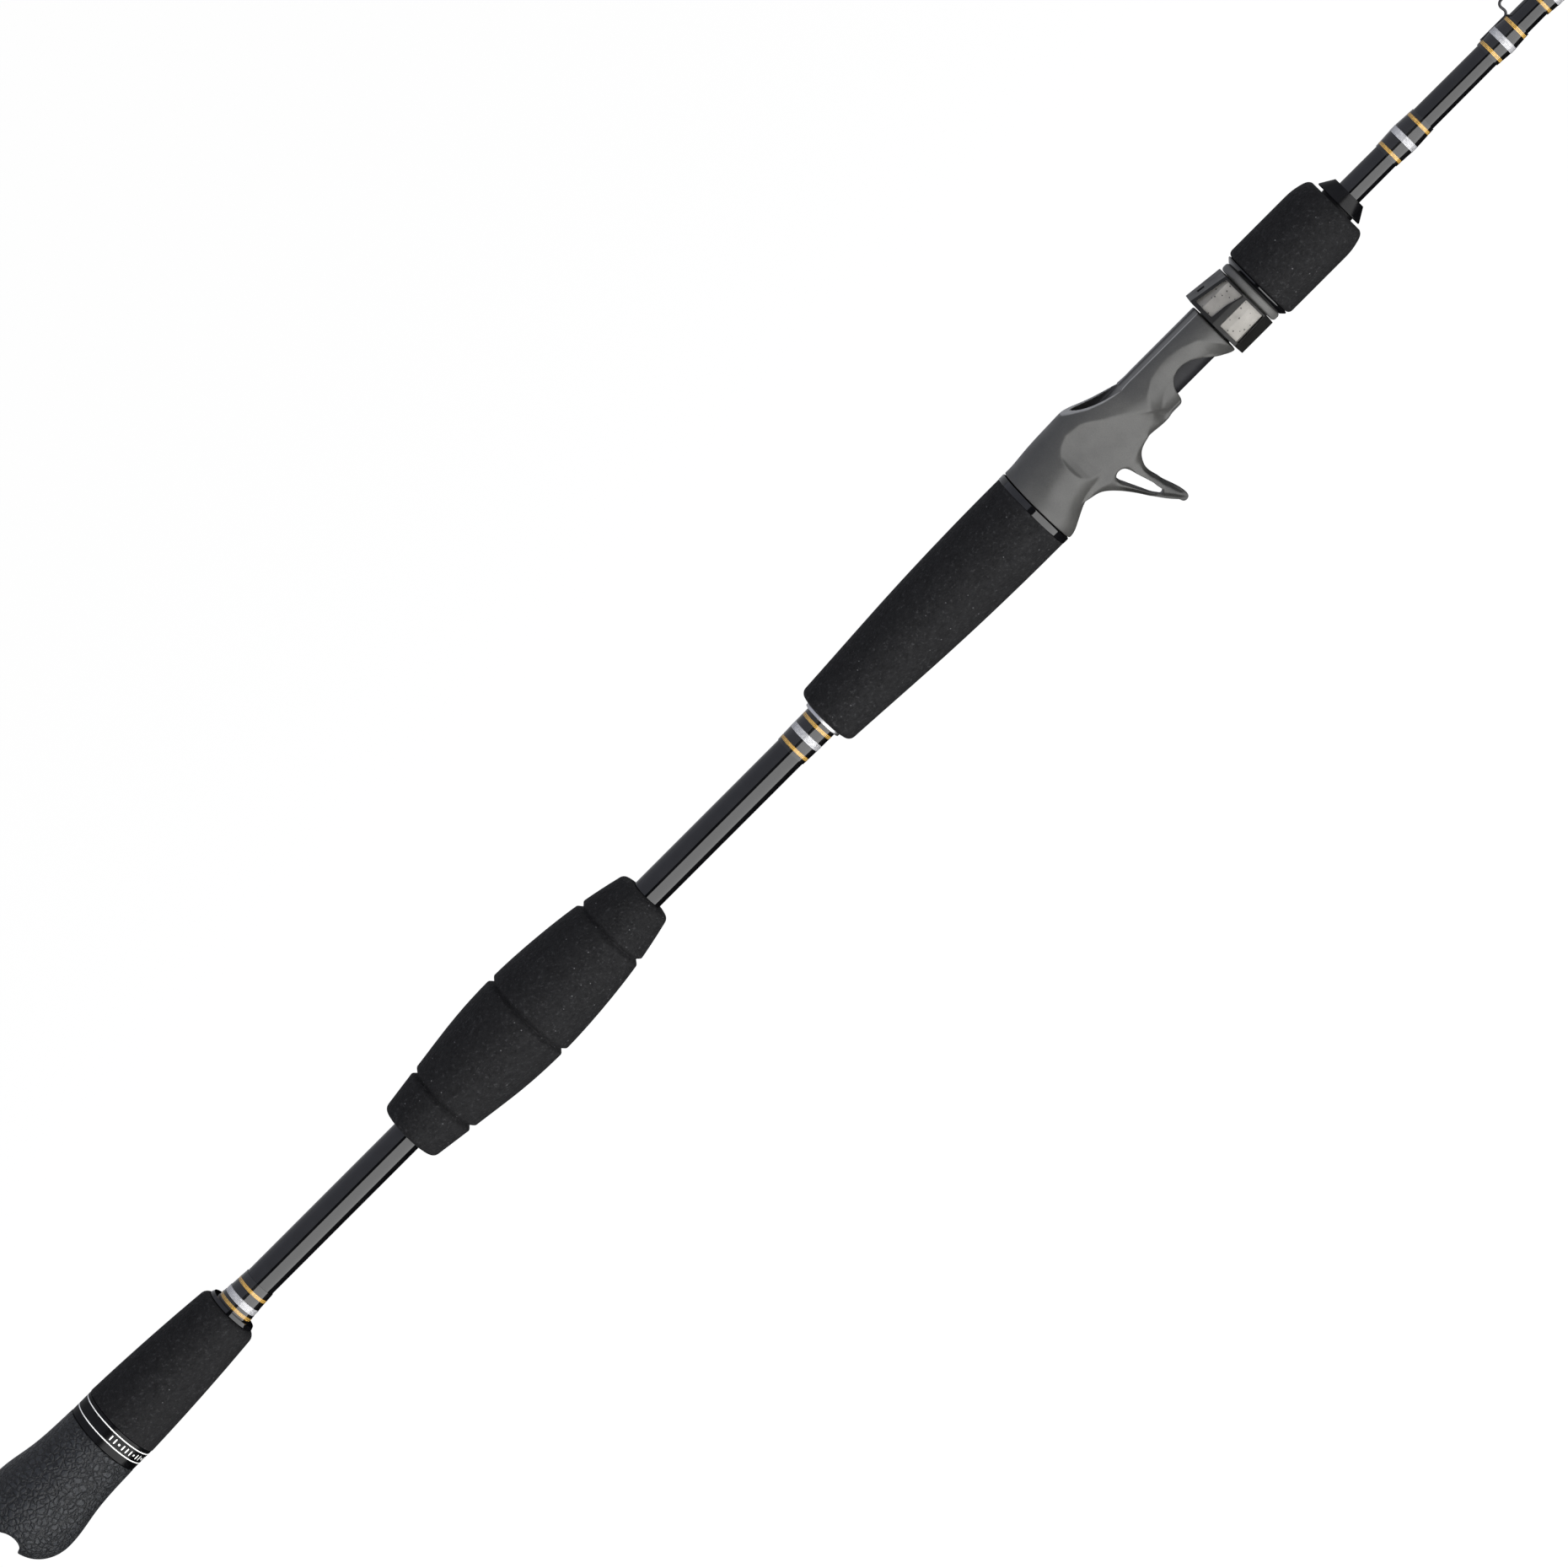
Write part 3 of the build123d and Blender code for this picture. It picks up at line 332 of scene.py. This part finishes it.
def speckled_liner():
    """Pale blasted metal with dark specks, as it shows through the front hood's windows."""
    g = Graph("liner", (0.2, 0.19, 0.17), 0.5, metallic=0.25, specular=0.35)
    tone = g.steps(g.noise(5 * MM, 3), (0.3, (0.16, 0.153, 0.139)), (0.7, (0.23, 0.221, 0.203)))
    speck = g.specks(1.25 * MM, 0.21, 0.38)
    fine = g.maths("LESS_THAN", g.cells(0.6 * MM), 0.13)
    colour = g.mix(speck, tone, (0.03, 0.028, 0.026))
    g.feed("Base Color", g.mix(g.maths("MULTIPLY", fine, 0.5), colour, (0.09, 0.085, 0.075)))
    g.feed("Roughness", g.steps(g.noise(0.8 * MM, 3), (0.3, 0.4), (0.7, 0.55)))
    g.feed("Normal", g.bump(g.noise(0.4 * MM, 3), 0.02 * MM, 0.5))
    return g.material


# One turn of thread. The wave texture repeats every 2 pi / 20 of its scaled place
THREAD = 0.434264 * MM
WAVE_PERIOD = 2 * math.pi / 20


def wound(name, dark, light, metallic, rough, painted_sparkle=0.0):
    """Thread wound round the rod, one turn beside the next, under smooth clear epoxy. A sparkle, when
    given, paints glints into the colour: bright patches among darker ones.
    """
    g = Graph(name, light, rough, metallic=metallic, specular=0.1, coat=1.0, coat_roughness=0.03)
    inputs = {"Vector": g.place, "Scale": WAVE_PERIOD / THREAD, "Distortion": 0.25, "Detail": 1.0}
    turns = g.node("ShaderNodeTexWave", inputs, wave_type="BANDS", bands_direction="X").outputs["Fac"]
    tone = g.steps(turns, (0.1, dark), (0.7, light))
    if painted_sparkle:
        # Painted glints: patches of the thread's colour stay bright while others are darkened
        patches = g.noise(0.28 * MM, 3, place=g.stretched(1.0, 0.6, 0.6))
        painted_glints = g.steps(patches, (0.35, 1 - painted_sparkle), (0.7, 1.0))
        tone = g.mix(1.0, tone, painted_glints, "MULTIPLY")
    g.feed("Base Color", tone)
    g.feed("Normal", g.bump(turns, 0.05 * MM, 0.6))
    ripple = g.noise(2.5 * MM, 2)
    g.tree.links.new(g.bump(ripple, 0.008 * MM, 0.6), g.shader.inputs["Coat Normal"])
    return g.material


def metal(name, colour, rough):
    """Bare or plated metal with fine turning marks."""
    g = Graph(name, colour, rough, metallic=1.0)
    light = tuple(min(1.0, c * 1.15) for c in colour)
    marks = g.noise(0.3 * MM, 3, place=g.stretched(3, 1, 1))
    g.feed("Base Color", g.steps(marks, (0.25, colour), (0.75, light)))
    g.feed("Roughness", g.steps(g.noise(1.5 * MM, 3), (0.3, rough), (0.7, rough + 0.2)))
    g.feed("Normal", g.bump(marks, 0.01 * MM, 0.5))
    return g.material


def ceramic():
    """Polished dark guide ring."""
    g = Graph("ceramic", (0.02, 0.02, 0.023), 0.12, specular=0.6)
    tone = g.steps(g.noise(1.5 * MM, 3), (0.3, (0.016, 0.016, 0.019)), (0.7, (0.026, 0.026, 0.03)))
    g.feed("Base Color", tone)
    g.feed("Roughness", g.steps(g.noise(1 * MM, 3), (0.3, 0.08), (0.7, 0.16)))
    return g.material


def ink():
    """White print, slightly uneven."""
    g = Graph("white_ink", (0.75, 0.75, 0.72), 0.45)
    g.feed("Base Color", g.steps(g.noise(0.5 * MM, 3), (0.3, (0.6, 0.6, 0.58)), (0.7, (0.85, 0.85, 0.82))))
    return g.material


MATERIALS = {
    "rubber": rubber(),
    "aluminium": metal("aluminium", (0.5, 0.5, 0.51), 0.34),
    "gloss_black": gloss_black(),
    "white_ink": ink(),
    "foam": foam(),
    "graphite": graphite(with_painted_light=True),
    "liner": speckled_liner(),
    "barrel_plastic": graphite(
        "barrel_plastic", (0.006, 0.006, 0.007), (0.011, 0.011, 0.0125), (0.4, 0.5), specular=0.15
    ),
    "dark_wire": metal("dark_wire", (0.035, 0.035, 0.037), 0.3),
    "hood_frame": graphite("hood_frame", (0.005, 0.005, 0.0047), (0.009, 0.0088, 0.0082), specular=0.22),
    "nut_plastic": graphite("nut_plastic", (0.052, 0.052, 0.049), (0.085, 0.084, 0.08), (0.42, 0.6)),
    "wrap": wound("wrap", (0.0015, 0.0015, 0.0015), (0.004, 0.004, 0.0045), 0.0, 0.4),
    "gold": wound("gold", (0.26, 0.125, 0.016), (0.74, 0.46, 0.105), 0.2, 0.4, 0.55),
    "silver": wound("silver", (0.29, 0.29, 0.29), (0.57, 0.57, 0.59), 0.2, 0.4, 0.5),
    "guide_metal": metal("guide_metal", (0.06, 0.06, 0.066), 0.22),
    "ceramic": ceramic(),
}
# Two gloss black pieces have a duller coat than the rest
SATIN_BLACK = gloss_black("satin_black", coat=0.3, coat_roughness=0.22)
SATIN_NODES = ("rating_band", "front_winding_check")


# ---------------------------------------------------------------- making pieces
def dress(piece, material_slot, smooth=False):
    """Gives a piece its material and, if asked, round shading."""
    piece.data.materials.clear()
    piece.data.materials.append(MATERIALS[material_slot])
    if smooth:
        piece.data.shade_smooth()


def stand_for(name, mesh, node):
    """A new piece with that mesh, in place of a CAD node, on that node's body."""
    piece = bpy.data.objects.new(name, mesh)
    bpy.context.scene.collection.objects.link(piece)
    dress(piece, slot_of_node[node], smooth=True)
    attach(piece, body_of_node[node])
    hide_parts(node)
    return piece


def points_of(mesh):
    """The places of a mesh's points, one row for each."""
    places = np.zeros(len(mesh.vertices) * 3, np.float32)
    mesh.vertices.foreach_get("co", places)
    return places.reshape(-1, 3).astype(float)


def set_points(mesh, places):
    """Moves a mesh's points to new places."""
    mesh.vertices.foreach_set("co", places.astype(np.float32).ravel())
    mesh.update()


def outline_of(node):
    """The outer outline of a turned node, as its places along X and its radii, from its own mesh."""
    places = points_of(nodes[node].data)
    radii = np.hypot(places[:, 1], places[:, 2])
    stations = {}
    for x, r in zip(np.round(places[:, 0], 6), radii):
        stations[x] = max(stations.get(x, 0.0), r)
    xs = np.array(sorted(stations))
    return xs, np.array([stations[x] for x in xs]), radii.min()


# Foam grips: the spacing of their rings, how far their outline is softened, and their V grooves
RING_STEP = 0.2 * MM
RING_SIDES = 200
SOFTEN = 0.18 * MM
CRISP_ANGLE = math.radians(38)
GROOVES = {"mid_grip": (0.199, 0.2369, 0.2737)}
GROOVE_HALF_W, GROOVE_DEPTH, GROOVE_LIP = 1.35 * MM, 1.5 * MM, 1.7 * MM


def turned(name, node, grooves=()):
    """A finely divided turned piece with a node's own outline, hole and ends; its grooves are opened, and all
    is softened a little."""
    xs, rs, hole = outline_of(node)
    fine = np.linspace(xs[0], xs[-1], int((xs[-1] - xs[0]) / RING_STEP) + 1)
    radii = np.interp(fine, xs, rs)
    for place in grooves:
        lips = [place - GROOVE_LIP, place + GROOVE_LIP]
        shoulder = np.interp(fine, lips, np.interp(lips, fine, radii))
        opened = shoulder - GROOVE_DEPTH * (1 - np.abs(fine - place) / GROOVE_HALF_W)
        radii = np.where(np.abs(fine - place) < GROOVE_HALF_W, np.minimum(radii, opened), radii)
    reach = int(2.5 * SOFTEN / RING_STEP)
    kernel = np.exp(-0.5 * (np.arange(-reach, reach + 1) * RING_STEP / SOFTEN) ** 2)
    padded_radii = np.pad(radii, reach, mode="reflect", reflect_type="odd")
    radii = np.minimum(np.convolve(padded_radii, kernel / kernel.sum(), "valid"), rs.max())
    ring_x = np.concatenate([[fine[0]], fine, [fine[-1]]])
    ring_r = np.concatenate([[hole], radii, [hole]])
    turns = np.linspace(0, 2 * np.pi, RING_SIDES, endpoint=False)
    count = len(ring_x)
    places = np.zeros((count, RING_SIDES, 3))
    places[:, :, 0] = ring_x[:, None]
    places[:, :, 1] = ring_r[:, None] * np.cos(turns)
    places[:, :, 2] = ring_r[:, None] * np.sin(turns)
    faces = []
    for ring in range(count):
        first, second = ring * RING_SIDES, (ring + 1) % count * RING_SIDES
        for k in range(RING_SIDES):
            n = (k + 1) % RING_SIDES
            faces.append((first + k, second + k, second + n, first + n))
    mesh = bpy.data.meshes.new(name)
    mesh.from_pydata(places.reshape(-1, 3).tolist(), [], faces)
    mesh.update()
    piece = stand_for(name, mesh, node)
    piece.modifiers.new("crisp_corners", "EDGE_SPLIT").split_angle = CRISP_ANGLE
    return piece


def remeshed(node, voxel, rounds):
    """A voxel remesh of a CAD node's mesh, smoothed so that its edges are rounded."""
    source = bpy.data.objects.new("remesh_source", nodes[node].data.copy())
    bpy.context.scene.collection.objects.link(source)
    remesh = source.modifiers.new("remesh", "REMESH")
    remesh.mode = "VOXEL"
    remesh.voxel_size = voxel
    smooth = source.modifiers.new("smooth", "SMOOTH")
    smooth.factor = 0.5
    smooth.iterations = rounds
    evaluated = source.evaluated_get(bpy.context.evaluated_depsgraph_get())
    mesh = bpy.data.meshes.new_from_object(evaluated)
    bpy.data.objects.remove(source)
    return mesh


def smoothstep(low, high, value):
    """Rises smoothly from 0 at low to 1 at high, or falls when low is the larger."""
    t = np.clip((value - low) / (high - low), 0, 1)
    return t * t * (3 - 2 * t)


def offsets_from(line, x, z):
    """The nearest offset, along X and Z, of each place in the side view from a line of points."""
    best_x, best_z = np.full(len(x), 1e9), np.full(len(x), 1e9)
    for (x0, z0), (x1, z1) in zip(line, line[1:]):
        dx, dz = x1 - x0, z1 - z0
        t = np.clip(((x - x0) * dx + (z - z0) * dz) / (dx * dx + dz * dz), 0, 1)
        away_x, away_z = x - x0 - t * dx, z - z0 - t * dz
        nearer = np.hypot(away_x, away_z) < np.hypot(best_x, best_z)
        best_x, best_z = np.where(nearer, away_x, best_x), np.where(nearer, away_z, best_z)
    return best_x, best_z


def nearest(line, x, z):
    """Distance from each place in the side view to a line of points."""
    return np.hypot(*offsets_from(line, x, z))


# Side view of the seat's moulded features, in millimetres: X and Z
ARCH_X = (509.6, 513.0, 517.0, 521.5, 525.5, 530.5, 535.5, 539.0, 541.8)
ARCH_TOP = (-3.0, 1.6, 4.4, 5.5, 5.6, 4.8, 2.8, -0.9, -6.0)
TRIGGER_REAR = (
    (474, -9.0), (479, -10.6), (482.6, -12.4), (485.6, -15.4), (488.4, -19.3), (492.4, -25.0),
    (496.6, -30.6), (498.5, -32.2),
)
TRIGGER_FRONT = (
    (499.6, -30.4), (498.4, -25.6), (496.9, -20.8), (496.2, -18.0), (496.3, -15.8), (497.0, -13.5),
    (498.2, -11.7), (501.0, -9.9), (504.5, -8.9),
)
SLOT_AXIS = ((489.9, -12.6), (493.6, -20.6))
RIM = (
    (489.6, 15.3), (492.9, 13.7), (496.7, 11.75), (501.3, 10.05), (505.3, 8.96), (508.0, 8.4), (542.0, 8.4),
)

# How deep the arch's bevel goes for each millimetre below its top, and down to where it deepens
ARCH_SLOPE, ARCH_REACH = 0.42, 6.5
# The share of the trigger's thickness that is taken off at its rear and front edges, and over what width
REAR_CUT, REAR_BEVEL_W = 0.72, 2.3
FRONT_CUT, FRONT_BEVEL_W = 0.5, 1.5
SLOT_WIDER = 0.5


def sculpt_seat(places):
    """Cuts the finer moulded features into both flanks: the bevelled arch over the window, and the trigger's
    bevelled rear and rounded front edge. Opens the trigger's slot a little."""
    x, y, z = places[:, 0] / MM, places[:, 1] / MM, places[:, 2] / MM
    flank = smoothstep(6.9, 8.2, np.hypot(y, z)) * smoothstep(2.0, 5.5, np.abs(y))
    arch = np.clip(np.interp(x, ARCH_X, ARCH_TOP) - z, 0, ARCH_REACH) * smoothstep(509.2, 511.5, x)
    depth = ARCH_SLOPE * arch * smoothstep(542.3, 541.4, x)
    y = np.sign(y) * (np.abs(y) - np.minimum(depth * flank, np.abs(y)))
    blade = smoothstep(-8.6, -11.5, z)
    rear = 1 - REAR_CUT * smoothstep(REAR_BEVEL_W, 0.0, nearest(TRIGGER_REAR, x, z))
    front = 1 - FRONT_CUT * smoothstep(FRONT_BEVEL_W, 0.0, nearest(TRIGGER_FRONT, x, z))
    y = y * (1 + blade * (rear * front - 1))
    away_x, away_z = offsets_from(SLOT_AXIS, x, z)
    away = np.maximum(np.hypot(away_x, away_z), 0.1)
    push = SLOT_WIDER * smoothstep(4.2, 2.0, away) * smoothstep(-8.5, -10.5, z)
    return np.stack([x + push * away_x / away, y, z + push * away_z / away], 1) * MM


def paint_seat_highlight_and_shade(mesh):
    """Notes where a painted highlight goes on the seat, on the rim of its rear hood and the upper edges of
    its bed, and where painted shade goes, on the trigger's bevels and tip."""
    x, _, z = points_of(mesh).T / MM
    normals = np.zeros(len(x) * 3, np.float32)
    mesh.vertices.foreach_get("normal", normals)
    upward = normals[2::3]
    edge = np.maximum(smoothstep(508, 505, x), smoothstep(0.97, 0.85, upward))
    # Painted highlight: paler on the rim of the rear hood and the slanted upper edges of the bed
    pale = 0.8 * smoothstep(0.5, 0.2, nearest(RIM, x, z)) * edge
    rear = smoothstep(2.6, 1.2, nearest(TRIGGER_REAR, x, z))
    front = smoothstep(1.9, 0.8, nearest(TRIGGER_FRONT, x, z))
    tip = smoothstep(-23, -28, z)
    # Painted shade: darker on the trigger's bevels and towards its tip
    dark = 0.75 * smoothstep(-12.5, -17.5, z) * np.maximum(np.maximum(rear, front), tip)
    for name, values in (("painted_rim_highlight", pale), ("painted_bevel_shade", dark)):
        mesh.attributes.new(name, "FLOAT", "POINT").data.foreach_set("value", values.astype(np.float32))


def relax(mesh, rounds, share=0.5):
    """Evens out a mesh a little after it has been shaped. The share is one number, or one for each point."""
    edges = np.zeros(len(mesh.edges) * 2, np.int32)
    mesh.edges.foreach_get("vertices", edges)
    a, b = edges.reshape(-1, 2).T
    places = points_of(mesh)
    size = len(places)
    count = np.bincount(a, minlength=size) + np.bincount(b, minlength=size)
    for _ in range(rounds):
        for axis in range(3):
            column = places[:, axis]
            total = np.bincount(a, column[b], size) + np.bincount(b, column[a], size)
            places[:, axis] = column + share * (total / count - column)
    set_points(mesh, places)


def soften_trigger_root(mesh):
    """Lets the hollow of each flank run smoothly into the trigger and into the toe in front of it."""
    x, y, z = points_of(mesh).T / MM
    share = smoothstep(477, 482, x) * smoothstep(515, 511.5, x) * smoothstep(-4.5, -7.5, z)
    share *= smoothstep(-14.5, -12.0, z) * smoothstep(0.8, 2.2, np.abs(y))
    relax(mesh, rounds=90, share=0.5 * share)


def reel_seat_mesh():
    """The reel seat with rounded edges, its sculpted features, and the values for its painted highlight and
    shade.
    """
    mesh = remeshed("reel_seat", voxel=0.28 * MM, rounds=8)
    set_points(mesh, sculpt_seat(points_of(mesh)))
    relax(mesh, rounds=4)
    soften_trigger_root(mesh)
    paint_seat_highlight_and_shade(mesh)
    return mesh


# Print on the rating band: b is a tick along the rod, d a dot, from the first mark's angle downward
BAND_PRINT = "bbdbbbdbbdbb"
BAND_PRINT_RADIUS, BAND_PRINT_X = 13.53 * MM, 49.6 * MM
FIRST_MARK_ANGLE, MARK_PITCH = 3.5, 7.4
MARK_HALF_SIZES = {"b": (0.95 * MM, 0.24 * MM), "d": (0.35 * MM, 0.35 * MM)}
MARK_CORNERS = 16


def signed_root(value):
    """The square root of a value's size, with the value's sign: it squares up an oval."""
    return math.copysign(math.sqrt(abs(value)), value)


def band_marks():
    """Small printed ticks and dots round the rating band, between its two stripes."""
    places, faces = [], []
    for index, kind in enumerate(BAND_PRINT):
        half_x, half_arc = MARK_HALF_SIZES[kind]
        centre = math.radians(FIRST_MARK_ANGLE - MARK_PITCH * index)
        faces.append(tuple(range(len(places), len(places) + MARK_CORNERS)))
        for k in range(MARK_CORNERS):
            turn = 2 * math.pi * k / MARK_CORNERS
            x = BAND_PRINT_X + signed_root(math.cos(turn)) * half_x
            angle = centre + signed_root(math.sin(turn)) * half_arc / BAND_PRINT_RADIUS
            places.append((x, -BAND_PRINT_RADIUS * math.cos(angle), BAND_PRINT_RADIUS * math.sin(angle)))
    mesh = bpy.data.meshes.new("band_marks")
    mesh.from_pydata(places, [], faces)
    piece = bpy.data.objects.new("band_marks", mesh)
    bpy.context.scene.collection.objects.link(piece)
    dress(piece, "white_ink")
    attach(piece, body_of_node["rating_band"])


# ---------------------------------------------------------------- the rod
add_camera()
add_stage()
for node, piece in nodes.items():
    dress(piece, slot_of_node[node])
for node in SATIN_NODES:
    nodes[node].data.materials[0] = SATIN_BLACK

for node in ("rear_grip", "mid_grip", "upper_grip", "fore_grip"):
    turned(node + "_foam", node, GROOVES.get(node, ()))

stand_for("reel_seat_moulding", reel_seat_mesh(), "reel_seat")
stand_for("movable_hood_frame", remeshed("movable_hood", voxel=0.16 * MM, rounds=5), "movable_hood")
stand_for("butt_cap_moulding", remeshed("butt_cap", voxel=0.4 * MM, rounds=4), "butt_cap")
band_marks()
